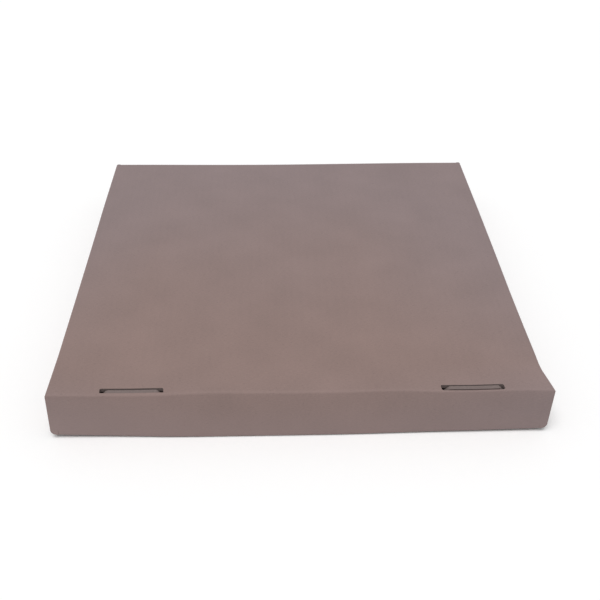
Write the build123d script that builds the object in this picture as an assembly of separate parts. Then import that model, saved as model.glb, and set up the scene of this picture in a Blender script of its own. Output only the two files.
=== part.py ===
"""Pizza box folded from one sheet of corrugated board: a tray, and the lid hinged along its back wall.

Lengths are in millimetres. The front faces -Y, +Z is up, and the box stands centred on the Z axis at Z = 0.
"""
import os
from math import cos, radians, sin

from build123d import *

# Outside of the closed box
box_width = 330.0
box_depth = 330.0
box_height = 37.0

# Board and how it folds
board = 2.7                 # thickness of the corrugated board
fold_inside = 0.4           # inside radius of every fold
layer_gap = 0.2             # air between layers of board that lie face to face
lid_play = 1.0              # between the lid's walls and the tray's walls inside them
lid_lift = 1.0              # lid's lower edges above the table
rim_gap = 0.5               # tray's rim below the lid's underside

# Rolled front wall of the lid, with its two tabs and slots
roll_end_play = 2.1         # roll's ends clear of the lid's side walls
inner_wall_drop = 1.0       # inner wall's upper edge below the lid's underside
tab_inset = 53.5            # from the side of the lid to the middle of a tab
tab_root_width = 39.0
tab_tip_width = 33.0
tab_tip_sink = 0.3          # tab's end below the lid's top face
tab_tip_radius = 1.2
slot_end_play = 4.5         # from the tab's tip to the slot's end
slot_side_play = 1.6        # from the tab's face to the slot's edge
slot_corner_radius = 1.2

# Corner flaps
lid_flap_length = 70.0
tray_flap_length = 40.0
flap_taper = 4.0            # each long edge draws in by this towards the free end
flap_corner_radius = 7.0
flap_relief = 1.0           # flap's long edges clear of the panels above and below
wall_corner_radius = 3.0    # upper corners of the tray's front wall and the lid's inner wall

# Hinge fold between the back wall and the lid
hinge_slit = 0.2            # slit between the two halves of the fold
mitre_angle = 45.0          # the slit halves the square fold

overrun = 20.0              # how far a cut or a trimming outline runs past the board

# Derived sizes
fold_outside = fold_inside + board
panel_corner_radius = fold_outside + layer_gap
half_width = box_width / 2
lid_front = -box_depth / 2
back_face = box_depth / 2
lid_underside = box_height - board
lid_flap_face = lid_front + board + layer_gap
roll_back = lid_flap_face + board + layer_gap + board
roll_end = board + layer_gap + roll_end_play
roll_half_width = half_width - roll_end
tray_half_width = half_width - board - lid_play
tray_front = roll_back + lid_play
tray_rim = lid_underside - rim_gap
slot_length = tab_tip_width + 2 * slot_end_play
slot_width = board + 2 * slot_side_play


def section(points, inward):
    """Section of the board, from the line of its outer face and the side its thickness lies on."""
    outer_face = FilletPolyline(*points, radius=fold_outside)
    return make_face(outer_face.offset_2d(board, side=inward))


def run_across(face, half_length):
    """Board of one YZ section, running the same way left and right of the middle."""
    return extrude(Plane.YZ * face, amount=half_length, both=True)


def run_back(face, front, rear):
    """Board of one XZ section, running from front to rear."""
    return extrude(Plane.XZ.offset(-rear) * face, amount=rear - front)


def run_up(face, low, high):
    """Board of one XY section, running from low to high."""
    return extrude(Plane.XY.offset(low) * face, amount=high - low)


def wall_outline(wall_half_width, low, high, lower_radius, upper_radius):
    """Front view of a wall, with its lower and its upper corners rounded."""
    outline = Rectangle(2 * wall_half_width, high - low)
    outline = Pos(0, (low + high) / 2) * outline
    corners = outline.vertices().group_by(Axis.Y)
    outline = fillet(corners[0], lower_radius)
    corners = outline.vertices().group_by(Axis.Y)
    return fillet(corners[-1], upper_radius)


def corner_flaps(wall_half_width, flap_face, side_wall_way, length, low, high):
    """Pair of tapered flaps that leave the side walls round a corner and lie behind the wall there.

    side_wall_way is +1 where the side walls run back from the flaps, -1 where they run forward.
    """
    heel = side_wall_way * (fold_outside + board)
    taper_start = wall_half_width - fold_outside
    free_end = wall_half_width - length
    points = [(wall_half_width, flap_face + heel), (wall_half_width, flap_face), (free_end, flap_face)]
    inward = Side.RIGHT if side_wall_way > 0 else Side.LEFT
    flap = run_up(section(points, inward), low - overrun, high + overrun)
    outline = Polyline(
        (free_end, low + flap_taper),
        (taper_start, low),
        (wall_half_width + overrun, low),
        (wall_half_width + overrun, high),
        (taper_start, high),
        (free_end, high - flap_taper),
        close=True,
    )
    flap &= run_back(make_face(outline), flap_face - overrun, flap_face + overrun)
    free_corners = flap.edges().filter_by(Axis.Y).group_by(Axis.X)[0]
    flap = fillet(free_corners, flap_corner_radius)
    return [flap, mirror(flap, about=Plane.YZ)]


def hinge_half(points, inward, keep):
    """Back wall's or lid's half of the hinge fold, parted from the other half by the mitred slit."""
    fold = run_across(section(points, inward), tray_half_width)
    lid_way = (0, -sin(radians(mitre_angle)), cos(radians(mitre_angle)))
    fold_centre = (0, back_face - fold_outside, box_height - fold_outside)
    mitre = Plane(origin=fold_centre, x_dir=(1, 0, 0), z_dir=lid_way)
    shift = hinge_slit / 2 if keep == Keep.TOP else -hinge_slit / 2
    return split(fold, bisect_by=mitre.offset(shift), keep=keep)


def lid_crown():
    """Top panel with both side walls folded down from it."""
    points = [
        (-half_width, lid_lift),
        (-half_width, box_height),
        (half_width, box_height),
        (half_width, lid_lift),
    ]
    return run_back(section(points, Side.RIGHT), lid_flap_face + fold_outside, back_face - fold_outside)


def lid_outer_wall():
    """Front strip of the top panel and the outer front wall, its lower corners rounded past the roll."""
    points = [
        (lid_flap_face + fold_outside + board, box_height),
        (lid_front, box_height),
        (lid_front, lid_lift),
    ]
    wall = run_across(section(points, Side.LEFT), half_width)
    outline = wall_outline(half_width, lid_lift, box_height, roll_end, panel_corner_radius)
    cut_height = fold_outside + overrun
    cut_middle = lid_lift + fold_outside - cut_height / 2
    outline -= Pos(0, cut_middle) * Rectangle(2 * roll_half_width, cut_height)
    return wall & run_back(outline, lid_front - overrun, roll_back + overrun)


def lid_roll():
    """Double fold under the front wall that turns the board up again behind it."""
    upright = lid_lift + fold_outside + board
    points = [
        (lid_front, upright),
        (lid_front, lid_lift),
        (roll_back, lid_lift),
        (roll_back, upright),
    ]
    return run_across(section(points, Side.LEFT), roll_half_width)


def tab_outline(root_height, tip_height):
    """Front view of one tab, narrowing to a tip with rounded corners."""
    root = tab_root_width / 2
    tip = tab_tip_width / 2
    outline = make_face(
        Polyline((-root, root_height), (-tip, tip_height), (tip, tip_height), (root, root_height), close=True)
    )
    return fillet(outline.vertices().group_by(Axis.Y)[-1], tab_tip_radius)


def lid_inner_wall():
    """Inner front wall, with the two tabs that stand up through the lid."""
    low = lid_lift + fold_outside
    high = lid_underside - inner_wall_drop
    outline = Pos(0, (low + high) / 2) * Rectangle(2 * roll_half_width, high - low)
    outline = fillet(outline.vertices().group_by(Axis.Y)[-1], wall_corner_radius)
    for side in (-1, 1):
        outline += Pos(side * (half_width - tab_inset), 0) * tab_outline(high, box_height - tab_tip_sink)
    return run_back(outline, roll_back - board, roll_back)


def tab_slots():
    """Cutters for the slots that the tabs stand in."""
    slot = RectangleRounded(slot_length, slot_width, slot_corner_radius)
    middle = roll_back - board / 2
    places = [Pos(side * (half_width - tab_inset), middle) * slot for side in (-1, 1)]
    return [run_up(place, lid_underside - fold_inside, box_height + overrun) for place in places]


def make_lid():
    """Lid: top panel, side walls, rolled front wall locked by its tabs, and its half of the hinge fold."""
    top = lid_crown() + lid_outer_wall()
    hinge_points = [
        (back_face - fold_outside - board, box_height),
        (back_face, box_height),
        (back_face, lid_underside - fold_outside),
    ]
    top += hinge_half(hinge_points, Side.RIGHT, Keep.TOP)
    top -= tab_slots()
    low = lid_lift + board + flap_relief
    high = lid_underside - flap_relief
    flaps = corner_flaps(half_width, lid_flap_face, 1, lid_flap_length, low, high)
    return top + flaps + lid_roll() + lid_inner_wall()


def tray_trough():
    """Bottom panel with both side walls folded up from it."""
    points = [
        (-tray_half_width, tray_rim),
        (-tray_half_width, 0),
        (tray_half_width, 0),
        (tray_half_width, tray_rim),
    ]
    front = tray_front + board + layer_gap + fold_outside
    rear = back_face - board - layer_gap - fold_outside
    return run_back(section(points, Side.LEFT), front, rear)


def tray_front_wall():
    """Front wall and the strip of the bottom panel that it is folded from."""
    strip = tray_front + board + layer_gap + fold_outside + board
    points = [(strip, 0), (tray_front, 0), (tray_front, tray_rim)]
    wall = run_across(section(points, Side.RIGHT), tray_half_width)
    outline = wall_outline(tray_half_width, 0, tray_rim, panel_corner_radius, wall_corner_radius)
    return wall & run_back(outline, tray_front - overrun, strip + overrun)


def tray_back_wall():
    """Back wall, the strip of the bottom panel below it and the lower half of the hinge fold above it."""
    strip = back_face - board - layer_gap - fold_outside - board
    points = [(strip, 0), (back_face, 0), (back_face, box_height), (strip, box_height)]
    wall = hinge_half(points, Side.LEFT, Keep.BOTTOM)
    outline = wall_outline(tray_half_width, 0, box_height + overrun, panel_corner_radius, panel_corner_radius)
    return wall & run_back(outline, strip - overrun, back_face + overrun)


def make_tray():
    """Tray: bottom panel, four walls and the corner flaps glued behind the front and back walls."""
    tray = tray_trough() + tray_front_wall() + tray_back_wall()
    low = board + flap_relief
    high = tray_rim - flap_relief
    front_face = tray_front + board + layer_gap
    rear_face = back_face - board - layer_gap
    tray += corner_flaps(tray_half_width, front_face, 1, tray_flap_length, low, high)
    tray += corner_flaps(tray_half_width, rear_face, -1, tray_flap_length, low, high)
    return tray


os.makedirs("parts", exist_ok=True)
export_step(make_tray(), "parts/tray.step")
export_step(make_lid(), "parts/lid.step")
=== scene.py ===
"""Pizza box of corrugated board: each sheet is cut flat, folded up, and fluted along its cut edges.

Lengths are in metres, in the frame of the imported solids: the front faces -Y and +Z is up.
"""
import math
from types import SimpleNamespace

import bmesh
import bpy
from bpy.props import FloatProperty, FloatVectorProperty, PointerProperty
from mathutils import Matrix, Vector


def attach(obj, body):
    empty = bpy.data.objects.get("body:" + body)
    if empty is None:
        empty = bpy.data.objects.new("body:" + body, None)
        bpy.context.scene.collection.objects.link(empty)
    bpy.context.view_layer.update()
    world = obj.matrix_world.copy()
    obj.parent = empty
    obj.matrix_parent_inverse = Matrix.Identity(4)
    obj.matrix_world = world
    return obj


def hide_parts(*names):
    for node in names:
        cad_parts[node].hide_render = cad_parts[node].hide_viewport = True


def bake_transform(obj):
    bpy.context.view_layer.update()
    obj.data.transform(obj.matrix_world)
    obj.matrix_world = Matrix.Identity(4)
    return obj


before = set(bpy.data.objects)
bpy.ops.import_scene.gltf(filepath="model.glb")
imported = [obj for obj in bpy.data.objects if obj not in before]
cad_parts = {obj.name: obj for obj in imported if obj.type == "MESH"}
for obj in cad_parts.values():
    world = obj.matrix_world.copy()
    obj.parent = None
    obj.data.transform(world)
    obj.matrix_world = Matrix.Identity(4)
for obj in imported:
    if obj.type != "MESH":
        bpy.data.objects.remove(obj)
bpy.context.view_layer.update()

bl_info = {
    "name": "Folded pizza box",
    "version": (1, 0, 0),
    "blender": (4, 5, 0),
    "location": "3D View > Sidebar > Pizza box",
    "description": "Cuts, folds and finishes a corrugated pizza box on its solid frame",
    "category": "Object",
}

MILLIMETRE = 0.001
TINY = 1e-5  # places closer than this are the same
DIGITS = 6  # decimals that tell two lines of a blank apart
CUT_TOLERANCE = 1e-7  # how near to a cut a point counts as on it
GRID_STEP = 0.022  # longest face along a flat blank
CORNER_PARTS = 4  # bevel steps in a rounded corner
INNER_PARTS = 2  # bevel steps in a fold's inner face
OUTER_PARTS = 5  # bevel steps in a fold's outer face
HINGE_PARTS = 6  # bevel steps in the hinge's outer face
FOLD_ANGLE = math.radians(60)  # an edge that turns further is a fold
SMOOTH_ANGLE = math.radians(35)  # an edge that turns less is shaded smooth
CAGE_POINTS = 17  # along each side of an easing lattice
FLUTE_SINK = 0.125  # how far the fluting stands back from the cut, as a share of the edge's depth
WAVE_PEAK = 1.5  # how much higher a wave is drawn, since smoothing pulls it in
WAVE_LEVELS = 2  # subdivisions that round a wave
BLANK_MAP = "blank"  # UV map of the flat sheet
FOLD_MARK = "fold"  # attribute of the points on a fold's outer face
LINER, CUT_EDGE, FLUTE_PAINTED_SHADE, FLUTING = range(4)  # order of the board's materials


def number(name, description, default, **settings):
    """Number property."""
    return FloatProperty(name=name, description=description, default=default, **settings)


def length(name, description, default):
    """Length property in metres."""
    return number(name, description, default, min=0.0, unit="LENGTH", precision=5)


def angle(name, description, degrees):
    """Angle property, given in degrees."""
    return number(name, description, math.radians(degrees), subtype="ANGLE")


def colour(name, description, default):
    """Linear colour property."""
    return FloatVectorProperty(
        name=name, description=description, default=default, size=3, min=0.0, max=1.0, subtype="COLOR"
    )


class BoxSizes(bpy.types.PropertyGroup):
    """Sizes of the folded box: the solid frame's, apart from what the photo shows or a crease crushes."""

    width: length("Width", "Lid's outside width", 0.330)
    depth: length("Depth", "From the lid's front to the back wall, outside", 0.330)
    height: length("Height", "From the table to the lid's top face", 0.037)
    board: length("Board", "Thickness of the corrugated board", 0.0027)
    liner: length("Liner", "Thickness of each facing paper", 0.00034)
    fold_outside: length("Outer fold radius", "Radius of a fold's outer face, crushed by the crease", 0.0017)
    fold_inside: length("Inner fold radius", "Radius of a fold's inner face", 0.0004)
    layer_gap: length("Layer gap", "Air between layers that lie face to face", 0.0002)
    lid_play: length("Lid play", "Between the lid's walls and the tray's walls", 0.001)
    lid_lift: length("Lid lift", "Lid's lower edges above the table", 0.001)
    rim_gap: length("Rim gap", "Tray's rim below the lid's underside", 0.0005)
    roll_end: length("Roll end", "From the lid's side to the end of the roll", 0.005)
    inner_drop: length("Inner wall drop", "Inner wall's edge below the lid's underside", 0.001)
    tab_inset: length("Tab inset", "From the lid's side to the middle of a tab", 0.0535)
    tab_root: length("Tab root", "Tab's width where it leaves the inner wall", 0.039)
    tab_tip: length("Tab tip", "Tab's width at its end", 0.033)
    tab_sink: length("Tab sink", "Tab's end below the lid's top face", 0.0003)
    tab_swell: number("Tab swell", "How far a tab's pressed end spreads, as a factor", 1.12, min=1.0)
    tab_bend: length("Tab bend", "Distance from a tab over which its lean fades out", 0.026)
    left_lean: length("Left tab lean", "How far the left tab leans to the front", 0.0032)
    right_lean: length("Right tab lean", "How far the right tab leans to the front", 0.00315)
    right_slip: length("Right tab slip", "How far the right tab stands right of its slot's middle", 0.0012)
    slot_length: length("Slot length", "Length of each slot in the lid", 0.0413)
    slot_width: length("Slot width", "Width of each slot in the lid", 0.0044)
    left_setback: length("Left slot setback", "From the lid's front to the left slot", 0.0022)
    right_setback: length("Right slot setback", "From the lid's front to the right slot", 0.0018)
    right_crush: number(
        "Right slot crush", "What is left of the crease where it is pressed thin before the right slot", 0.5,
        min=0.0, max=1.0,
    )
    lid_flap: length("Lid flap", "Length of the lid's corner flaps", 0.032)
    tray_flap: length("Tray flap", "Length of the tray's corner flaps", 0.040)
    flap_taper: length("Flap taper", "How far each long edge of a flap draws in", 0.004)
    flap_relief: length("Flap relief", "Flap's long edges clear of the panels", 0.001)
    rear_gap: length("Rear gap", "Lid's rear edges in front of the tray's back", 0.0006)
    nick: length("Nick", "Slit at each end of the roll's lower crease", 0.0001)
    end_rise: length("End rise", "Front wall's ends above the roll's lower crease", 0.0008)
    wall_corner: length("Wall corner", "Radius of the front wall's lower corners", 0.0038)
    side_corner: length("Side corner", "Radius of the side walls' free corners", 0.003)
    flap_corner: length("Flap corner", "Radius of the flaps' free corners", 0.007)
    tab_corner: length("Tab corner", "Radius of the tabs' corners", 0.0012)


class BoardFinish(bpy.types.PropertyGroup):
    """Look of the board."""

    liner_colour: colour("Liner", "Brown kraft facing paper", (0.238, 0.1655, 0.1485))
    # painted cool sheen: this greyer liner colour stands in for cool light on the back, the sides and down
    # the front wall
    painted_cool_liner: colour("Greyer liner", "Kraft paper where its tone drifts greyer", (0.225, 0.1720, 0.1700))
    edge_colour: colour("Cut edge", "Paper where it is cut through", (0.178, 0.139, 0.131))
    core_colour: colour("Fluting", "Fluted paper between the facings", (0.230, 0.165, 0.130))
    # painted shade: dark colour put in the depth of the open flutes, where there is only shade
    painted_shade_colour: colour("Flute shade", "Depth of the open flutes", (0.050, 0.035, 0.028))
    flute_pitch: length("Flute pitch", "From one flute to the next", 0.0064)
    flute_paper: length("Fluting paper", "Thickness of the fluted paper", 0.00022)
    edge_depth: length("Edge depth", "How deep the cut edges are modelled", 0.0010)


class Studio(bpy.types.PropertyGroup):
    """Camera, lights and floor."""

    camera_place: FloatVectorProperty(
        name="Camera", description="Camera's place", default=(-0.01868, -0.57866, 0.40693), size=3,
        subtype="TRANSLATION", unit="LENGTH"
    )
    camera_pitch: angle("Pitch", "Camera's tilt below the horizon", 35.52)
    camera_yaw: angle("Yaw", "Camera's turn to the right", 2.38)
    camera_roll: angle("Roll", "Camera's turn about its view", 0.87)
    camera_field: angle("Field of view", "Width of the camera's view", 38.76)
    camera_near: length("Near clip", "Nearest distance that the camera sees", 0.01)
    sky_strength: number("Sky", "Strength of the even light from all around", 0.45, min=0.0)
    lamp_strength: number("Lamp", "Strength of the soft lamp overhead", 1.90, min=0.0)
    lamp_spread: angle("Lamp spread", "Angle over which the lamp spreads", 40)
    lamp_tilt: angle("Lamp tilt", "Lamp's tilt towards the front", 18.5)
    lamp_turn: angle("Lamp turn", "Lamp's turn towards the left", 20)
    floor_side: length("Floor side", "Length of the floor's sides", 8.0)
    floor_colour: colour("Floor", "Paper floor, as it lights the box", (0.90, 0.90, 0.90))
    floor_white: colour("Floor in view", "Paper floor, as it is seen", (1.0, 1.0, 1.0))


def plan_of(sizes):
    """Places and heights that follow from the sizes."""
    plan = SimpleNamespace()
    plan.fold = sizes.fold_inside + sizes.board
    plan.half = sizes.width / 2
    plan.front = -sizes.depth / 2
    plan.back = sizes.depth / 2
    plan.top = sizes.height
    plan.underside = sizes.height - sizes.board
    plan.wall = sizes.height - sizes.lid_lift
    plan.flap_face = plan.front + sizes.board + sizes.layer_gap
    plan.roll = 3 * sizes.board + 2 * sizes.layer_gap
    plan.roll_back = plan.front + plan.roll
    plan.roll_half = plan.half - sizes.roll_end
    plan.inner = plan.underside - sizes.inner_drop - sizes.lid_lift
    plan.tab_rise = sizes.height - sizes.tab_sink - (plan.underside - sizes.inner_drop)
    plan.tab_middle = plan.half - sizes.tab_inset
    plan.neck = plan.fold + sizes.rim_gap + 1.5 * sizes.layer_gap
    plan.lip = plan.fold + sizes.layer_gap
    plan.side_rear = plan.back - sizes.rear_gap
    plan.tray_half = plan.half - sizes.board - sizes.lid_play
    plan.tray_front = plan.roll_back + sizes.lid_play
    plan.tray_rim = plan.underside - sizes.rim_gap
    plan.hinge_reach = plan.fold + 2 * sizes.board
    plan.box = (Vector((-plan.half, plan.front, 0)), Vector((plan.half, plan.back, plan.top)))
    return plan


# Modelling steps


def same(one, other):
    """Whether two places along a line are the same."""
    return abs(one - other) < TINY


def rest_hands():
    """Back to object mode with nothing selected."""
    if bpy.context.object and bpy.context.object.mode != "OBJECT":
        bpy.ops.object.mode_set(mode="OBJECT")
    bpy.ops.object.select_all(action="DESELECT")


def hold(piece):
    """One piece alone, selected and active."""
    rest_hands()
    bpy.context.view_layer.objects.active = piece
    piece.select_set(True)


def take(piece):
    """One piece alone in edit mode."""
    hold(piece)
    bpy.ops.object.mode_set(mode="EDIT")


def middle_of(item):
    """Middle of a vertex, edge or face."""
    if isinstance(item, bmesh.types.BMVert):
        return item.co
    if isinstance(item, bmesh.types.BMEdge):
        return (item.verts[0].co + item.verts[1].co) / 2
    return item.calc_center_median()


def unpick(piece, kind):
    """The sheet in edit mode, with nothing selected."""
    bpy.ops.mesh.select_mode(type=kind)
    bpy.ops.mesh.select_all(action="DESELECT")
    return bmesh.from_edit_mesh(piece.data)


def pick(piece, kind, test):
    """Selects the vertices, edges or faces whose middle passes the test, and nothing else."""
    sheet = unpick(piece, kind)
    items = {"VERT": sheet.verts, "EDGE": sheet.edges, "FACE": sheet.faces}[kind]
    found = [item for item in items if not item.hide and test(middle_of(item))]
    if not found:
        raise RuntimeError(f"{piece.name}: nothing to pick")
    for item in found:
        item.select_set(True)
    sheet.select_flush_mode()
    bmesh.update_edit_mesh(piece.data)


def lay_sheet(name, low, high, level):
    """Flat rectangular sheet at its place, left in edit mode."""
    rest_hands()
    bpy.ops.mesh.primitive_plane_add(size=1)
    piece = bpy.context.object
    piece.name = name
    piece.data.name = name
    bpy.ops.object.mode_set(mode="EDIT")
    bpy.ops.mesh.select_all(action="SELECT")
    span = (high[0] - low[0], high[1] - low[1], 1)
    bpy.ops.transform.resize(value=span, center_override=(0, 0, 0))
    bpy.ops.transform.translate(value=((low[0] + high[0]) / 2, (low[1] + high[1]) / 2, level))
    return piece


def lines_between(needed):
    """The needed lines, with even ones between them where they lie further apart than the grid's step."""
    places = sorted(set(round(place, DIGITS) for place in needed))
    lines = []
    for near, far in zip(places, places[1:]):
        parts = max(1, math.ceil((far - near) / GRID_STEP - TINY))
        lines += [near + (far - near) * part / parts for part in range(parts)]
    return lines[1:]


def score(piece, lines, direction, within=lambda p: True):
    """Cuts the faces that lie within a region along straight lines across the direction."""
    for line in lines:
        pick(piece, "FACE", within)
        place = tuple(line * way for way in direction)
        bpy.ops.mesh.bisect(plane_co=place, plane_no=direction, threshold=CUT_TOLERANCE)


def cut_blank(name, panels, holes, level):
    """Flat blank: a sheet scored along its panels' edges, with the waste and the holes cut away."""
    regions = panels + holes
    across = [place for region in regions for place in region[:2]]
    along = [place for region in regions for place in region[2:]]
    piece = lay_sheet(name, (min(across), min(along)), (max(across), max(along)), level)
    score(piece, lines_between(across), (1, 0, 0))
    for left, right, near, far in regions:
        edges = [edge for edge in (near, far) if min(along) < edge < max(along)]
        score(piece, edges, (0, 1, 0), lambda p: left < p.x < right)

    def inside(place, region):
        return region[0] < place.x < region[1] and region[2] < place.y < region[3]

    def waste(place):
        kept = any(inside(place, panel) for panel in panels)
        return not kept or any(inside(place, hole) for hole in holes)

    pick(piece, "FACE", waste)
    bpy.ops.mesh.delete(type="FACE")
    for panel in panels:
        score(piece, lines_between(panel[2:]), (0, 1, 0), lambda p: inside(p, panel))
    return piece


def draw_out(piece, edge, middle, width, reach, tip):
    """Draws an edge out into a flap or tab, and narrows its free end to the tip's width."""
    pick(piece, "EDGE", lambda p: same(p.y, edge) and abs(p.x - middle) < width / 2)
    bpy.ops.mesh.extrude_region_move(TRANSFORM_OT_translate={"value": (0, reach, 0)})
    bpy.ops.transform.resize(value=(tip / width, 1, 1), center_override=(middle, 0, 0))


def round_corners(piece, test, radius):
    """Rounds picked corners of the flat blank."""
    pick(piece, "VERT", test)
    bpy.ops.mesh.bevel(offset=radius, segments=CORNER_PARTS, affect="VERTICES", clamp_overlap=True)


def chart(piece):
    """Keeps the flat blank's own X and Y as a map, so that the finish follows the sheet round its folds."""
    bpy.ops.object.mode_set(mode="OBJECT")
    flat_map = piece.data.uv_layers.active
    flat_map.name = BLANK_MAP
    for loop in piece.data.loops:
        flat_map.data[loop.index].uv = piece.data.vertices[loop.vertex_index].co.xy
    take(piece)


def fold(piece, beyond, axis, degrees, line):
    """Turns all that lies beyond a crease about it."""
    pick(piece, "VERT", beyond)
    bpy.ops.transform.rotate(value=-math.radians(degrees), orient_axis=axis, center_override=line)


def thicken(piece, sizes):
    """Gives the folded sheet the board's thickness, inwards, with its cut edges in their own material."""
    bpy.ops.object.mode_set(mode="OBJECT")
    board = piece.modifiers.new("board", "SOLIDIFY")
    board.thickness = sizes.board
    board.offset = -1
    board.use_even_offset = True
    board.material_offset_rim = CUT_EDGE
    bpy.ops.object.modifier_apply(modifier=board.name)


def round_folds(piece, sizes, segments):
    """Rounds the outer and the inner face of every fold, and marks the outer ones for the finish."""
    take(piece)
    rounds = ((False, sizes.fold_inside, INNER_PARTS), (True, sizes.fold_outside, segments))
    for convex, radius, parts in rounds:
        sheet = unpick(piece, "EDGE")
        for edge in sheet.edges:
            papers = [face.material_index for face in edge.link_faces]
            if papers != [LINER, LINER] or edge.is_convex != convex or edge.calc_face_angle() < FOLD_ANGLE:
                continue
            room = min(face.calc_area() for face in edge.link_faces) / edge.calc_length()
            if room > radius:
                edge.select_set(True)
        bmesh.update_edit_mesh(piece.data)
        bpy.ops.mesh.bevel(offset=radius, segments=parts, affect="EDGES", clamp_overlap=False)
    sheet = bmesh.from_edit_mesh(piece.data)
    mark = sheet.verts.layers.float.new(FOLD_MARK)
    for point in sheet.verts:
        point[mark] = float(all(face.select for face in point.link_faces))
    bmesh.update_edit_mesh(piece.data)


def open_edges(piece, sizes, finish, runs_on):
    """Sinks the middle of each cut edge between the two liners, except where the sheet runs on, and gives it
    the painted shade of the deep flutes.
    """
    take(piece)
    sheet = unpick(piece, "FACE")
    for face in sheet.faces:
        face.select_set(face.material_index == CUT_EDGE and not runs_on(face.calc_center_median()))
    bmesh.update_edit_mesh(piece.data)
    bpy.ops.mesh.inset(thickness=sizes.liner, depth=0, use_even_offset=True)
    bpy.ops.mesh.extrude_region_shrink_fatten(TRANSFORM_OT_shrink_fatten={"value": -finish.edge_depth})
    # the sunk middles take the painted shade of the deep flutes
    piece.active_material_index = FLUTE_PAINTED_SHADE
    bpy.ops.object.material_slot_assign()
    bpy.ops.object.mode_set(mode="OBJECT")


def flute(piece, sizes, finish, start, along, outward, run):
    """Fills a cut edge with fluted paper: one wave, repeated along the edge and joined to the board."""
    pitch, sink = finish.flute_pitch, finish.edge_depth * FLUTE_SINK
    depth, count = finish.edge_depth - sink, int(run / pitch)
    height = (sizes.board - 2 * sizes.liner - finish.flute_paper) / 2
    wave = lay_sheet("flute_run", (0, -depth), (pitch, 0), 0)
    wave.data.uv_layers.active.name = BLANK_MAP
    score(wave, [pitch * part for part in (0.25, 0.5, 0.75)], (1, 0, 0))
    for part, way in ((0.25, 1), (0.75, -1)):
        pick(wave, "VERT", lambda p: same(p.x, pitch * part))
        bpy.ops.transform.translate(value=(0, 0, way * WAVE_PEAK * height))
    bpy.ops.object.mode_set(mode="OBJECT")
    wave.data.materials.append(board_materials()[FLUTING])
    repeat = wave.modifiers.new("repeat", "ARRAY")
    repeat.count = count
    repeat.use_merge_vertices = True
    repeat.merge_threshold = TINY
    smooth = wave.modifiers.new("smooth", "SUBSURF")
    smooth.levels = smooth.render_levels = WAVE_LEVELS
    paper = wave.modifiers.new("paper", "SOLIDIFY")
    paper.thickness = finish.flute_paper
    paper.offset = 0
    for name in ("repeat", "smooth", "paper"):
        bpy.ops.object.modifier_apply(modifier=name)
    along, outward = Vector(along), Vector(outward)
    turn = Matrix((along, outward, along.cross(outward))).transposed().to_4x4()
    slack = (run - count * pitch) / 2
    wave.matrix_world = Matrix.Translation(Vector(start) + along * slack - outward * sink) @ turn
    bpy.ops.object.transform_apply(location=True, rotation=True, scale=True)
    piece.select_set(True)
    bpy.context.view_layer.objects.active = piece
    bpy.ops.object.join()


def ease(piece, low, high, moves, curve="KEY_CARDINAL"):
    """Eases a piece out of true with a lattice.

    The moves are its points' shifts in millimetres, by column, row and level.
    """
    rest_hands()
    span = high - low
    bpy.ops.object.add(type="LATTICE", location=(low + high) / 2)
    cage = bpy.context.object
    cage.scale = span
    cage.data.points_u = cage.data.points_v = CAGE_POINTS
    cage.data.points_w = 2
    cage.data.interpolation_type_u = cage.data.interpolation_type_v = curve
    cage.data.interpolation_type_w = "KEY_LINEAR"
    for (column, row, level), shift in moves.items():
        point = cage.data.points[column + CAGE_POINTS * (row + CAGE_POINTS * level)]
        point.co_deform += Vector(step * MILLIMETRE / side for step, side in zip(shift, span))
    bpy.context.view_layer.update()
    bend = piece.modifiers.new("ease", "LATTICE")
    bend.object = cage
    hold(piece)
    bpy.ops.object.modifier_apply(modifier=bend.name)
    rest_hands()
    cage.select_set(True)
    bpy.ops.object.delete()


def settle(piece, body, nodes):
    """Cleans and smooths a finished piece and hands it to its body."""
    take(piece)
    bpy.ops.mesh.select_all(action="SELECT")
    bpy.ops.mesh.dissolve_degenerate(threshold=TINY / 10)
    hold(piece)
    bpy.ops.object.shade_smooth_by_angle(angle=SMOOTH_ANGLE)
    if body:
        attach(piece, body)
    if nodes:
        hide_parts(*nodes)


# Board finish


FLECK_LEVEL = 0.76  # noise above this is a dark fleck
RIB_STRAY = 1.2  # how far the ribs stray from straight lines, in radians of a wave
RIB_LEAST, RIB_RANGE = 0.1, 0.8  # strength of the ribs at its least, and how far it varies
RIB_PAINTED_SHADE = 0.012  # how much painted light and shade along the ribs show in the liner's tone
TONE_ENDS = (0.30, 0.70)  # tones at which paper is darkest and lightest
LINER_CONTRAST = 0.15  # how far the liner strays from its colour, either way
PAPER_SHEEN = 0.4
PAPER_ROUGHNESS = 0.92
ROUGH_LEAST, ROUGH_RANGE = 0.66, 0.16  # roughness of the liner at its least, and how far it varies
FOLD_WEAR_AND_HIGHLIGHT, WALL_PALE = 0.05, 0.42  # how far the folds are paled, by wear and a painted highlight, and how far the front wall is painted lighter
PALED_GREY, PALED_LIGHTER = 0.6, 1.28  # paled liner, on the folds and the painted-lighter front wall: its share of grey, and how much lighter it is

# Painted cool sheen on the liner, and the front wall painted lighter: places on the flat blank, from the
# middle of the top panel
BROWN_X, BROWN_Y = -0.03, -0.135  # where no cool sheen is painted, so the paper is brownest
BROWN_HALF = 0.08  # half the width of the brown band
FRONT_HASTE = 2.2  # how much sooner the painted cool sheen turns the paper grey to the front than to the back
TONE_STRAY = 0.075  # how far the tone strays from its place
GREY_REACH = 0.30  # distance at which the painted cool sheen is fullest
BOUNCE_FOOT = (-0.172, -0.204)  # down the front wall, where more and more painted bounce light lightens it
PALE_WALL = (-0.165, -0.172)  # across the front crease, below which the left end is lighter
PALE_LEFT = (-0.06, -0.13)  # to the left, where the left end grows lighter and lighter
LEFT_PALE = 0.5  # how much of the foot's lightening the left end has


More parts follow.
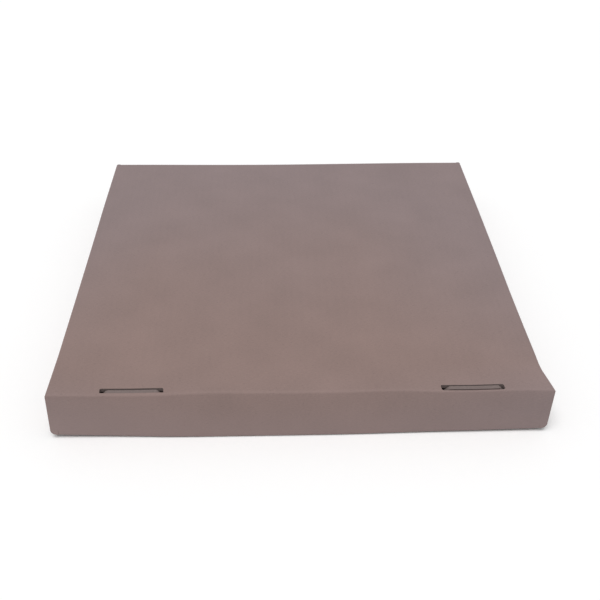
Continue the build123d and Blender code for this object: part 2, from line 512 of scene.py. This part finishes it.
class Weaver:
    """Places and wires the nodes of one node tree."""

    def __init__(self, tree):
        self.tree = tree

    def add(self, kind, **settings):
        node = self.tree.nodes.new(kind)
        for name, value in settings.items():
            setattr(node, name, value)
        return node

    def feed(self, node, values):
        """Wires a node's inputs to other nodes, or sets them."""
        for name, value in values.items():
            if isinstance(value, bpy.types.NodeSocket):
                self.tree.links.new(value, node.inputs[name])
            else:
                node.inputs[name].default_value = value

    def put(self, kind, values, **settings):
        """Places a node, feeds it, and gives its outputs."""
        node = self.add(kind, **settings)
        self.feed(node, values)
        return node.outputs

    def math(self, operation, *values):
        return self.put("ShaderNodeMath", dict(enumerate(values)), operation=operation)[0]

    def total(self, *layers):
        """Sum of the layers' values, each times its share."""
        result = None
        for value, share in layers:
            layer = self.math("MULTIPLY", value, share)
            result = layer if result is None else self.math("ADD", result, layer)
        return result

    def parts(self, vector):
        return self.put("ShaderNodeSeparateXYZ", {"Vector": vector})

    def ramp(self, value, low, high):
        values = {"Value": value, "From Min": low, "From Max": high}
        return self.put("ShaderNodeMapRange", values, interpolation_type="SMOOTHSTEP")["Result"]

    def noise(self, vector, detail, scale=1.0, stretch=None):
        if stretch:
            vector = self.put("ShaderNodeMapping", {"Vector": vector, "Scale": stretch})[0]
        return self.put("ShaderNodeTexNoise", {"Vector": vector, "Scale": scale, "Detail": detail})["Fac"]

    def mix(self, share, first, second):
        values = {"Factor": share, "A": first, "B": second}
        return self.put("ShaderNodeMix", values, data_type="RGBA", blend_type="MIX")["Result"]

    def bump(self, height, strength, distance):
        values = {"Strength": strength, "Distance": distance, "Height": height}
        return self.put("ShaderNodeBump", values)["Normal"]

    def group(self, tree, vector):
        return self.put("ShaderNodeGroup", {"Vector": vector}, node_tree=tree)


def new_group(name, *outputs):
    """Node group from a vector to the named values, with its weaver and its two ends."""
    group = bpy.data.node_groups.new(name, "ShaderNodeTree")
    group.interface.new_socket(name="Vector", in_out="INPUT", socket_type="NodeSocketVector")
    for output in outputs:
        group.interface.new_socket(name=output, in_out="OUTPUT", socket_type="NodeSocketFloat")
    weave = Weaver(group)
    return group, weave, weave.add("NodeGroupInput").outputs["Vector"], weave.add("NodeGroupOutput")


def fibre_group():
    """Paper fibres: streaks along the mill's run, mottling and the odd dark fleck."""
    group, weave, start, end = new_group("paper_fibres", "Tone", "Height")
    streaks = weave.noise(start, detail=3.0, stretch=(420.0, 1900.0, 1900.0))
    cross = weave.noise(start, detail=2.0, stretch=(1500.0, 500.0, 1500.0))
    clouds = weave.noise(start, detail=3.0, scale=24.0)
    grain = weave.noise(start, detail=2.0, scale=2600.0)
    flecks = weave.noise(start, detail=0.0, stretch=(520.0, 900.0, 900.0))
    dark = weave.math("GREATER_THAN", flecks, FLECK_LEVEL)
    tone = weave.total((streaks, 0.42), (cross, 0.20), (clouds, 0.36), (grain, 0.12), (dark, -0.16))
    weave.feed(end, {"Tone": tone, "Height": weave.total((streaks, 0.6), (grain, 0.4))})
    return group


def washboard_group(pitch):
    """Faint ribs where the liner dips between the flutes."""
    group, weave, start, end = new_group("flute_washboard", "Rib")
    stray = weave.math("MULTIPLY", weave.noise(start, detail=2.0, scale=18.0), RIB_STRAY)
    turns = weave.math("MULTIPLY", weave.parts(start)["X"], 2 * math.pi / pitch)
    rib = weave.math("SINE", weave.math("ADD", turns, stray))
    strength = weave.math(
        "MULTIPLY_ADD", weave.noise(start, detail=1.0, scale=9.0), RIB_RANGE, RIB_LEAST
    )
    weave.feed(end, {"Rib": weave.math("MULTIPLY", rib, strength)})
    return group


def painted_sheen_group():
    """Painted cool sheen, greyer to the sheet's sides and ends with a random wander, and how far the front
    wall is painted lighter.
    """
    group, weave, start, end = new_group("painted_sheen_drift", "PaintedSheen", "WallPale")
    parts = weave.parts(start)
    ahead = weave.math("ADD", parts["Y"], -BROWN_Y)
    away = weave.math("MAXIMUM", ahead, weave.math("MULTIPLY", ahead, -FRONT_HASTE))
    aside = weave.math("ABSOLUTE", weave.math("ADD", parts["X"], -BROWN_X))
    sideways = weave.math("SUBTRACT", aside, BROWN_HALF)
    away = weave.math("ADD", away, weave.math("MAXIMUM", sideways, 0))
    wander = weave.math("SUBTRACT", weave.noise(start, detail=2.0, scale=7.0), 0.5)
    spread = weave.math("ADD", away, weave.math("MULTIPLY", wander, TONE_STRAY))
    # painted bounce light: the front wall lighter and lighter towards its foot
    foot = weave.ramp(parts["Y"], *BOUNCE_FOOT)
    wall = weave.ramp(parts["Y"], *PALE_WALL)
    # the left end of the front wall lighter
    left = weave.math("MULTIPLY", weave.ramp(parts["X"], *PALE_LEFT), wall)
    wall_pale = weave.math("MULTIPLY_ADD", left, LEFT_PALE, foot)
    weave.feed(end, {"PaintedSheen": weave.ramp(spread, 0, GREY_REACH), "WallPale": wall_pale})
    return group


def new_material(name):
    """Empty material, with its weaver and its shader."""
    material = bpy.data.materials.new(name)
    material.use_nodes = True
    return material, Weaver(material.node_tree), material.node_tree.nodes["Principled BSDF"]


def scaled(colour_values, factor):
    """Colour made lighter or darker."""
    return tuple(value * factor for value in colour_values)


def toned(weave, tone, base, contrast):
    """Colour that runs from darker to lighter with the tone."""
    ramp = weave.add("ShaderNodeValToRGB")
    for stop, place, factor in zip(ramp.color_ramp.elements, TONE_ENDS, (1 - contrast, 1 + contrast)):
        stop.position = place
        stop.color = (*scaled(base, factor), 1)
    weave.feed(ramp, {"Fac": tone})
    return ramp.outputs["Color"]


def liner_material(finish, fibres, washboard, drift):
    """Kraft facing paper with a painted cool sheen, paled along the folds by wear and a painted highlight,
    and painted lighter on the front wall.
    """
    _, weave, shader = new_material("kraft_liner")
    place = weave.add("ShaderNodeUVMap", uv_map=BLANK_MAP).outputs["UV"]
    paper, ribs, wall_and_sheen = (weave.group(tree, place) for tree in (fibres, washboard, drift))
    # painted light and shade along the washboard ribs, added to the paper's tone
    tone = weave.math("ADD", paper["Tone"], weave.math("MULTIPLY", ribs["Rib"], RIB_PAINTED_SHADE))
    brown = toned(weave, tone, finish.liner_colour, LINER_CONTRAST)
    grey = toned(weave, tone, finish.painted_cool_liner, LINER_CONTRAST)
    # painted cool sheen: the liner turns greyer where the sheen is painted
    liner = weave.mix(wall_and_sheen["PaintedSheen"], brown, grey)
    fold_mark = weave.add("ShaderNodeAttribute", attribute_name=FOLD_MARK).outputs["Fac"]
    # the front wall painted lighter: painted bounce light towards its foot, and lighter towards its left end
    wall_pale = weave.math("MULTIPLY", wall_and_sheen["WallPale"], WALL_PALE)
    # the folds paled by crease wear and a painted highlight
    paling = weave.math("MAXIMUM", weave.math("MULTIPLY", fold_mark, FOLD_WEAR_AND_HIGHLIGHT), wall_pale)
    pairs = zip(finish.liner_colour, finish.painted_cool_liner)
    paled = [(1 - PALED_GREY) * plain + PALED_GREY * pale for plain, pale in pairs]
    height = weave.total((paper["Height"], 0.35), (ribs["Rib"], 0.5))
    weave.feed(shader, {
        "Base Color": weave.mix(paling, liner, (*scaled(paled, PALED_LIGHTER), 1)),
        "Roughness": weave.math("MULTIPLY_ADD", paper["Tone"], ROUGH_RANGE, ROUGH_LEAST),
        "Specular IOR Level": PAPER_SHEEN,
        "Normal": weave.bump(height, strength=0.35, distance=0.00006),
    })


def paper_material(name, base, fibres, contrast):
    """Bare paper for a cut edge and for the fluting, and the painted shade in the depth of the flutes."""
    _, weave, shader = new_material(name)
    paper = weave.group(fibres, weave.add("ShaderNodeTexCoord").outputs["Object"])
    weave.feed(shader, {
        "Base Color": toned(weave, paper["Tone"], base, contrast),
        "Roughness": PAPER_ROUGHNESS,
        "Specular IOR Level": PAPER_SHEEN,
        "Normal": weave.bump(paper["Height"], strength=0.4, distance=0.00005),
    })


def board_materials():
    """The board's materials, made once: liner, cut edge, painted flute shade and fluting."""
    names = ("kraft_liner", "cut_edge", "painted_flute_shade", "fluting")
    if not bpy.data.materials.get(names[LINER]):
        finish = bpy.context.scene.board_finish
        fibres = fibre_group()
        liner_material(finish, fibres, washboard_group(finish.flute_pitch), painted_sheen_group())
        paper_material("cut_edge", finish.edge_colour, fibres, contrast=0.20)
        paper_material("painted_flute_shade", finish.painted_shade_colour, fibres, contrast=0.15)
        paper_material("fluting", finish.core_colour, fibres, contrast=0.18)
    return [bpy.data.materials[name] for name in names]


# Pieces


def mirrored(left, right, near, far):
    """One region and its mirror image across the middle."""
    return [(left, right, near, far), (-right, -left, near, far)]


def add_materials(piece):
    """Liner, cut edge and painted flute shade, in the slots that the modelling steps fill."""
    for material in board_materials()[:FLUTING]:
        piece.data.materials.append(material)


def halfway(line):
    """The line's shifts with their means put in between them."""
    means = [tuple((near + far) / 2 for near, far in zip(*pair)) for pair in zip(line, line[1:])]
    return [shift for pair in zip(line, means) for shift in pair] + [line[-1]]


def lid_ease():
    """How the lid sits out of true: its foot bellies, the tabs hold the crease, and a corner springs out.

    The tables run from left to right along the front, and from front to back along the sides.
    """
    moves = {}
    foot = halfway((
        (-0.6, 0, 1.5), (1.4, -0.4, 0.1), (1.1, -1.6, -0.6), (0.8, -1.5, -0.8), (0.6, -1.4, -0.8),
        (0.8, -1.2, -0.6), (1.2, -0.4, -0.1), (1.8, -0.1, 0.4), (1.6, 0, 1.4),
    ))
    crease = (
        (0.4, 0.6, 0.8), (1.5, 0.35, 0.55), (2.9, 0.1, 0.3), (2.8, 0.15, 0.25), (1.8, 0.5, 0.5),
        (1.1, 1.4, 1.0), (0.8, 0.9, 0.8), (0.7, 0.7, 0.75), (0.6, 0.5, 0.7), (0.7, 0.55, 0.75),
        (0.8, 0.7, 0.8), (1.05, 1.4, 1.0), (1.3, 0.4, 0.5), (1.6, 0.0, 0.2), (1.9, 0.1, 0.35),
        (1.95, 0.5, 0.65), (2.0, 0.3, 0.2),
    )
    left_side = (0.5, 0.7, 0.7, 0.7, 0.65, 0.6, 0.55, 0.5, 0.4, 0.3, 0.15)
    right_side = (-1.3, -1.5, -1.6, -1.6, -1.5, -1.3, -1.0, -0.75, -0.5, -0.3, -0.1)
    behind, below = 0.4, 0.4  # share of a shift that the row behind the crease and the sides' feet take
    for level, line in enumerate((foot, crease)):
        for column, shift in enumerate(line):
            moves[column, 0, level] = shift
    for column, (_, back, lift) in enumerate(crease):
        moves[column, 1, 1] = (0, behind * back, behind * lift)
    for column, side in ((0, left_side), (CAGE_POINTS - 1, right_side)):
        for row, shift in enumerate(side, 1):
            lift = moves.get((column, row, 1), (0, 0, 0))[1:]
            moves[column, row, 1] = (shift, *lift)
            moves[column, row, 0] = (below * shift, 0, 0)
    return moves


def back_ease():
    """How the back edge rises to the right: the same for all pieces, so that their seams stay shut."""
    lifts = (
        0, 0, -0.1, -0.25, -0.4, -0.5, -0.53, -0.48, -0.35, -0.16, 0.08, 0.34, 0.6, 0.8, 0.95, 1.03, 1.05,
    )
    shares = (0.1, 0.3, 0.55, 0.8, 1.0)
    return {
        (column, row, 1): (0, 0, share * lift)
        for row, share in enumerate(shares, CAGE_POINTS - len(shares))
        for column, lift in enumerate(lifts)
    }


def tray_ease():
    """How the tray sits out of true: the rim of its right wall leans in, under the lid's."""
    rim = (-0.9, -0.95, -1.0, -1.0, -0.95, -0.85, -0.7, -0.55, -0.4, -0.25, -0.1)
    return {(CAGE_POINTS - 1, row, 1): (shift, 0, 0) for row, shift in enumerate(rim)}


def lean_tabs(lid, sizes, plan):
    """Leans the tabs to the front, which bends the inner wall below them and nothing else."""
    below_face = plan.top - sizes.tab_sink / 2
    pick(lid, "VERT", lambda p: same(p.y, plan.roll_back) and p.z < below_face)
    bpy.ops.mesh.hide(unselected=True)
    for side, slip, lean in ((-1, 0, sizes.left_lean), (1, sizes.right_slip, sizes.right_lean)):
        pick(lid, "VERT", lambda p: side * p.x > 0 and plan.underside < p.z < below_face)
        bpy.ops.transform.translate(
            value=(slip, -lean, 0), use_proportional_edit=True, proportional_edit_falloff="SMOOTH",
            proportional_size=sizes.tab_bend,
        )
    bpy.ops.mesh.reveal(select=False)


def press_crease(lid, sizes, plan, slot):
    """Presses the crease before a slot thin."""
    left, right, near, _ = slot
    low = plan.top - sizes.fold_outside - TINY
    pick(lid, "VERT", lambda p: left + TINY < p.x < right - TINY and p.y < near + TINY and p.z > low)
    bpy.ops.transform.resize(value=(1, sizes.right_crush, 1), center_override=(0, plan.front, 0))


def swell_tabs(lid, sizes, plan):
    """Spreads the pressed ends of the tabs."""
    for side, lean in ((-1, sizes.left_lean), (1, sizes.right_lean)):
        tab = side * plan.tab_middle
        centre = plan.roll_back - sizes.board / 2 - lean
        pick(
            lid, "VERT", lambda p: abs(p.x - tab) < sizes.tab_root / 2
            and abs(p.y - centre) < sizes.board / 2 + sizes.layer_gap
            and abs(p.z - plan.top + sizes.tab_sink) < sizes.tab_sink / 2,
        )
        bpy.ops.transform.resize(value=(1, sizes.tab_swell, 1), center_override=(tab, centre, 0))


class PIZZABOX_OT_fold_lid(bpy.types.Operator):
    """Cut the lid flat with its slots, tabs and flaps, then fold it and roll its front over the flaps"""

    bl_idname = "pizzabox.fold_lid"
    bl_label = "Fold the lid"

    def execute(self, context):
        sizes, finish = context.scene.box_sizes, context.scene.board_finish
        plan = plan_of(sizes)
        half, front, top, wall, ends = plan.half, plan.front, plan.top, plan.wall, plan.roll_half
        hinge_edge = plan.back - plan.hinge_reach
        side_front = plan.flap_face + plan.neck
        flap_edges = (half + sizes.board + sizes.flap_relief, half + wall - sizes.board - sizes.flap_relief)
        flap_start = plan.flap_face - plan.lip
        roll_line = front - wall
        end_line = roll_line + sizes.end_rise
        nick_end = end_line + sizes.wall_corner + sizes.nick
        inner_line = roll_line - plan.roll
        inner_lip = inner_line - 2 * plan.lip
        inner_end = inner_line - plan.inner
        slots = []
        for side, setback in ((-1, sizes.left_setback), (1, sizes.right_setback)):
            middle, reach, near = side * plan.tab_middle, sizes.slot_length / 2, front + setback
            slots.append((middle - reach, middle + reach, near, near + sizes.slot_width))
        tab_ends = (plan.tab_middle - sizes.tab_root / 2, plan.tab_middle + sizes.tab_root / 2)

        panels = [
            (-half, half, front, hinge_edge),
            (-ends, ends, roll_line, front),
            (-ends, ends, inner_line, roll_line),
            (-ends, ends, inner_lip, inner_line),
            (-ends, ends, inner_end, inner_lip),
            *mirrored(*tab_ends, inner_end, inner_lip),
            *mirrored(ends, half, front - 2 * plan.lip, front),
            *mirrored(ends, half, nick_end, front - 2 * plan.lip),
            *mirrored(ends + sizes.nick, half, end_line, nick_end),
            *mirrored(plan.tray_half, half, hinge_edge, plan.side_rear),
            *mirrored(half, half + wall, side_front, plan.side_rear),
            *mirrored(half, half + plan.lip, front, side_front),
            *mirrored(*flap_edges, flap_start, plan.flap_face),
            *mirrored(*flap_edges, plan.flap_face, side_front),
        ]
        lid = cut_blank("lid_board", panels, slots, top)
        add_materials(lid)

        flap_height = flap_edges[1] - flap_edges[0]
        flap_tip = flap_height / 2 - sizes.flap_taper
        flap_reach = sizes.lid_flap - plan.lip
        for side in (-1, 1):
            tab, flap = side * plan.tab_middle, side * (half + wall / 2)
            draw_out(lid, inner_end, tab, sizes.tab_root, -plan.tab_rise, sizes.tab_tip)
            draw_out(lid, flap_start, flap, flap_height, -flap_reach, 2 * flap_tip)
        flap_end = flap_start - flap_reach
        tab_end = inner_end - plan.tab_rise

        def at(place, x, y):
            return same(abs(place.x), x) and same(place.y, y)

        def at_slot_end(place):
            return any(
                same(place.y, far) and (same(place.x, left) or same(place.x, right))
                for left, right, _, far in slots
            )

        def at_side_end(place):
            return at(place, half + wall, side_front) or at(place, half + wall, plan.side_rear)

        def at_flap_end(place):
            return same(place.y, flap_end) and same(abs(abs(place.x) - half - wall / 2), flap_tip)

        def at_tab_end(place):
            return same(place.y, tab_end) and same(abs(abs(place.x) - plan.tab_middle), sizes.tab_tip / 2)

        round_corners(lid, at_slot_end, sizes.tab_corner)
        round_corners(lid, lambda p: at(p, half, end_line), sizes.wall_corner)
        round_corners(lid, at_side_end, sizes.side_corner)
        round_corners(lid, at_flap_end, sizes.flap_corner)
        round_corners(lid, at_tab_end, sizes.tab_corner)
        chart(lid)

        for line in (inner_line, roll_line, front):
            fold(lid, lambda p: p.y < line - TINY and abs(p.x) < half + TINY, "X", 90, (0, line, top))
        outer = flap_edges[0] - TINY
        flap_line = (0, plan.flap_face, top)
        fold(lid, lambda p: p.y < plan.flap_face - TINY and abs(p.x) > outer, "X", 90, flap_line)
        for side in (-1, 1):
            fold(lid, lambda p: side * p.x > half + TINY, "Y", side * 90, (side * half, 0, top))
        lean_tabs(lid, sizes, plan)
        thicken(lid, sizes)
        round_folds(lid, sizes, OUTER_PARTS)
        press_crease(lid, sizes, plan, slots[1])

        def at_corner(place):
            return place.z > top - 2 * plan.lip and place.y < side_front and abs(place.x) > half - plan.lip

        def runs_on(place):
            at_hinge = same(place.y, hinge_edge) and abs(place.x) < plan.tray_half
            at_ear = place.y > hinge_edge + TINY and place.z > top - plan.lip - TINY
            low = place.z < sizes.lid_lift + 2 * plan.lip
            at_roll_end = low and abs(abs(place.x) - ends) < 2 * sizes.nick
            at_slot = place.z > plan.underside - sizes.inner_drop + TINY and any(
                left - TINY < place.x < right + TINY and front - TINY < place.y < far + TINY
                for left, right, _, far in slots
            )
            return at_hinge or at_ear or at_corner(place) or at_roll_end or at_slot

        open_edges(lid, sizes, finish, runs_on)
        take(lid)
        pick(lid, "FACE", at_corner)
        lid.active_material_index = LINER
        bpy.ops.object.material_slot_assign()
        swell_tabs(lid, sizes, plan)
        foot = sizes.lid_lift + sizes.side_corner
        for side in (-1, 1):
            start = (side * (half - sizes.board / 2), plan.side_rear, foot)
            flute(lid, sizes, finish, start, (0, 0, 1), (0, 1, 0), plan.underside - foot)
        ease(lid, *plan.box, lid_ease())
        ease(lid, *plan.box, back_ease(), "KEY_BSPLINE")
        settle(lid, "lid", ["lid"])
        return {"FINISHED"}


class PIZZABOX_OT_fold_tray(bpy.types.Operator):
    """Cut the tray flat with its corner flaps and fold its walls up"""

    bl_idname = "pizzabox.fold_tray"
    bl_label = "Fold the tray"

    def execute(self, context):
        sizes, finish = context.scene.box_sizes, context.scene.board_finish
        plan = plan_of(sizes)
        half, front, back, rim = plan.tray_half, plan.tray_front, plan.back, plan.tray_rim
        front_face = front + sizes.board + sizes.layer_gap
        back_face = back - sizes.board - sizes.layer_gap
        side_front = front_face + plan.neck
        side_rear = back_face - plan.neck
        flap_edges = (half + sizes.board + sizes.flap_relief, half + rim - sizes.flap_relief)
        back_top = plan.top - plan.hinge_reach
        flap_start = plan.lip

        panels = [
            (-half, half, front, back),
            (-half, half, front - 2 * plan.lip, front),
            (-half, half, front - rim, front - 2 * plan.lip),
            (-half, half, back, back + 2 * plan.lip),
            (-half, half, back + 2 * plan.lip, back + back_top),
            *mirrored(half, half + rim, side_front, side_rear),
            *mirrored(half, half + plan.lip, front, side_front),
            *mirrored(half, half + plan.lip, side_rear, back),
            *mirrored(*flap_edges, front_face, side_front),
            *mirrored(*flap_edges, front_face - flap_start, front_face),
            *mirrored(*flap_edges, side_rear, back_face),
            *mirrored(*flap_edges, back_face, back_face + flap_start),
        ]
        tray = cut_blank("tray_board", panels, [], 0.0)
        bpy.ops.mesh.select_all(action="SELECT")
        bpy.ops.mesh.flip_normals()
        add_materials(tray)

        flap_height = flap_edges[1] - flap_edges[0]
        flap_middle = (flap_edges[0] + flap_edges[1]) / 2
        flap_tip = flap_height / 2 - sizes.flap_taper
        flap_reach = sizes.tray_flap - flap_start
        for middle in (-flap_middle, flap_middle):
            for edge, way in ((front_face - flap_start, -1), (back_face + flap_start, 1)):
                draw_out(tray, edge, middle, flap_height, way * flap_reach, 2 * flap_tip)
        flap_ends = (front_face - sizes.tray_flap, back_face + sizes.tray_flap)

        def at_flap_end(place):
            at_end = place.y < flap_ends[0] + TINY or place.y > flap_ends[1] - TINY
            return at_end and same(abs(abs(place.x) - flap_middle), flap_tip)

        round_corners(tray, at_flap_end, sizes.flap_corner)
        round_corners(tray, lambda p: same(abs(p.x), half) and same(p.y, front - rim), sizes.side_corner)
        chart(tray)

        fold(tray, lambda p: p.y < front - TINY and abs(p.x) < half + TINY, "X", -90, (0, front, 0))
        fold(tray, lambda p: p.y > back + TINY and abs(p.x) < half + TINY, "X", 90, (0, back, 0))
        outer = flap_edges[0] - TINY
        fold(tray, lambda p: p.y < front_face - TINY and abs(p.x) > outer, "X", -90, (0, front_face, 0))
        fold(tray, lambda p: p.y > back_face + TINY and abs(p.x) > outer, "X", 90, (0, back_face, 0))
        for side in (-1, 1):
            fold(tray, lambda p: side * p.x > half + TINY, "Y", -side * 90, (side * half, 0, 0))
        thicken(tray, sizes)
        round_folds(tray, sizes, OUTER_PARTS)

        def runs_on(place):
            at_hinge = same(place.z, back_top) and place.y > back_face - TINY
            near_end = place.y < side_front or place.y > side_rear
            at_corner = place.z < 2 * plan.lip and near_end and abs(place.x) > half - plan.lip
            return at_hinge or at_corner

        open_edges(tray, sizes, finish, runs_on)
        end = half - sizes.side_corner
        start = (-end, front + sizes.board / 2, rim)
        flute(tray, sizes, finish, start, (1, 0, 0), (0, 0, 1), 2 * end)
        ease(tray, Vector((-half, front, 0)), Vector((half, back, rim)), tray_ease())
        ease(tray, *plan.box, back_ease(), "KEY_BSPLINE")
        settle(tray, "tray", ["tray"])
        return {"FINISHED"}


class PIZZABOX_OT_crease_hinge(bpy.types.Operator):
    """Bend the strip of board that joins the tray's back wall to the lid"""

    bl_idname = "pizzabox.crease_hinge"
    bl_label = "Crease the hinge"

    def execute(self, context):
        sizes, finish = context.scene.box_sizes, context.scene.board_finish
        plan = plan_of(sizes)
        half, back, top, reach = plan.tray_half, plan.back, plan.top, plan.hinge_reach
        strip = lay_sheet("hinge_crease", (-half, back - reach), (half, back + reach), top)
        score(strip, lines_between((-half, half)), (1, 0, 0))
        bends = [back + reach * part for part in (-0.75, -0.5, 0, 0.5, 0.75)]
        score(strip, bends, (0, 1, 0))
        add_materials(strip)
        chart(strip)
        fold(strip, lambda p: p.y > back + TINY, "X", -90, (0, back, top))
        thicken(strip, sizes)
        round_folds(strip, sizes, HINGE_PARTS)
        open_edges(strip, sizes, finish, lambda p: abs(p.x) < half - TINY)
        ease(strip, *plan.box, back_ease(), "KEY_BSPLINE")
        settle(strip, None, [])
        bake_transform(strip)
        return {"FINISHED"}


def seen_rays(weave):
    """Rays that see the floor or the sky, straight or in a reflection."""
    rays = weave.add("ShaderNodeLightPath")
    seen = weave.math("MAXIMUM", rays.outputs["Is Camera Ray"], rays.outputs["Is Glossy Ray"])
    return weave.math("MAXIMUM", seen, rays.outputs["Is Transmission Ray"])


def lay_floor(studio):
    """White paper floor, which looks whiter than it lights the box."""
    rest_hands()
    bpy.ops.mesh.primitive_plane_add(size=studio.floor_side)
    floor = bpy.context.object
    floor.name = "floor"
    material, weave, shader = new_material("floor_paper")
    paper = weave.mix(seen_rays(weave), (*studio.floor_colour, 1), (*studio.floor_white, 1))
    weave.feed(shader, {"Base Color": paper, "Roughness": 0.9, "Specular IOR Level": 0.0})
    floor.data.materials.append(material)


def hang_lights(scene, studio):
    """Soft lamp overhead, in an even sky that looks plain white."""
    bpy.ops.object.light_add(type="SUN", rotation=(studio.lamp_tilt, 0, -studio.lamp_turn))
    lamp = bpy.context.object
    lamp.name = "soft_lamp"
    lamp.data.energy = studio.lamp_strength
    lamp.data.angle = studio.lamp_spread
    world = bpy.data.worlds.new("studio_sky")
    scene.world = world
    world.use_nodes = True
    sky = Weaver(world.node_tree)
    white = (1, 1, 1, 1)
    even = world.node_tree.nodes["Background"]
    sky.feed(even, {"Color": white, "Strength": studio.sky_strength})
    plain = sky.put("ShaderNodeBackground", {"Color": white})[0]
    mix = sky.put("ShaderNodeMixShader", {0: seen_rays(sky), 1: even.outputs[0], 2: plain})[0]
    sky.feed(world.node_tree.nodes["World Output"], {"Surface": mix})


def place_camera(scene, studio):
    """Camera where the photo was taken from."""
    bpy.ops.object.camera_add(location=studio.camera_place)
    camera = bpy.context.object
    camera.data.sensor_fit = "HORIZONTAL"
    camera.data.angle = studio.camera_field
    camera.data.clip_start = studio.camera_near
    turn = Matrix.Rotation(-studio.camera_yaw, 3, "Z")
    tilt = Matrix.Rotation(math.pi / 2 - studio.camera_pitch, 3, "X")
    roll = Matrix.Rotation(studio.camera_roll, 3, "Z")
    camera.rotation_euler = (turn @ tilt @ roll).to_euler()
    scene.camera = camera


class PIZZABOX_OT_set_stage(bpy.types.Operator):
    """Lay the floor, hang the lights and place the camera"""

    bl_idname = "pizzabox.set_stage"
    bl_label = "Set the stage"

    def execute(self, context):
        scene, studio = context.scene, context.scene.studio
        lay_floor(studio)
        hang_lights(scene, studio)
        place_camera(scene, studio)
        scene.view_settings.view_transform = "Standard"
        return {"FINISHED"}


class PIZZABOX_PT_steps(bpy.types.Panel):
    """Steps that build the box, and the settings they use"""

    bl_idname = "PIZZABOX_PT_steps"
    bl_label = "Pizza box"
    bl_space_type = "VIEW_3D"
    bl_region_type = "UI"
    bl_category = "Pizza box"

    def draw(self, context):
        for step in STEPS:
            self.layout.operator(step.bl_idname)
        for kept in SETTINGS:
            settings, box = getattr(context.scene, kept), self.layout.box()
            for name in settings.bl_rna.properties.keys():
                if name not in ("rna_type", "name"):
                    box.prop(settings, name)


STEPS = (PIZZABOX_OT_fold_lid, PIZZABOX_OT_fold_tray, PIZZABOX_OT_crease_hinge, PIZZABOX_OT_set_stage)
SETTINGS = {"box_sizes": BoxSizes, "board_finish": BoardFinish, "studio": Studio}
CLASSES = (*SETTINGS.values(), *STEPS, PIZZABOX_PT_steps)


def register():
    """Registers the classes and their settings."""
    for each in CLASSES:
        bpy.utils.register_class(each)
    for kept, group in SETTINGS.items():
        setattr(bpy.types.Scene, kept, PointerProperty(type=group))


def unregister():
    """Takes the classes and their settings away again."""
    for kept in SETTINGS:
        delattr(bpy.types.Scene, kept)
    for each in reversed(CLASSES):
        bpy.utils.unregister_class(each)


def main():
    """Builds the dressed box and sets the stage."""
    register()
    bpy.ops.pizzabox.fold_lid()
    bpy.ops.pizzabox.fold_tray()
    bpy.ops.pizzabox.crease_hinge()
    bpy.ops.pizzabox.set_stage()


if __name__ == "__main__":
    main()
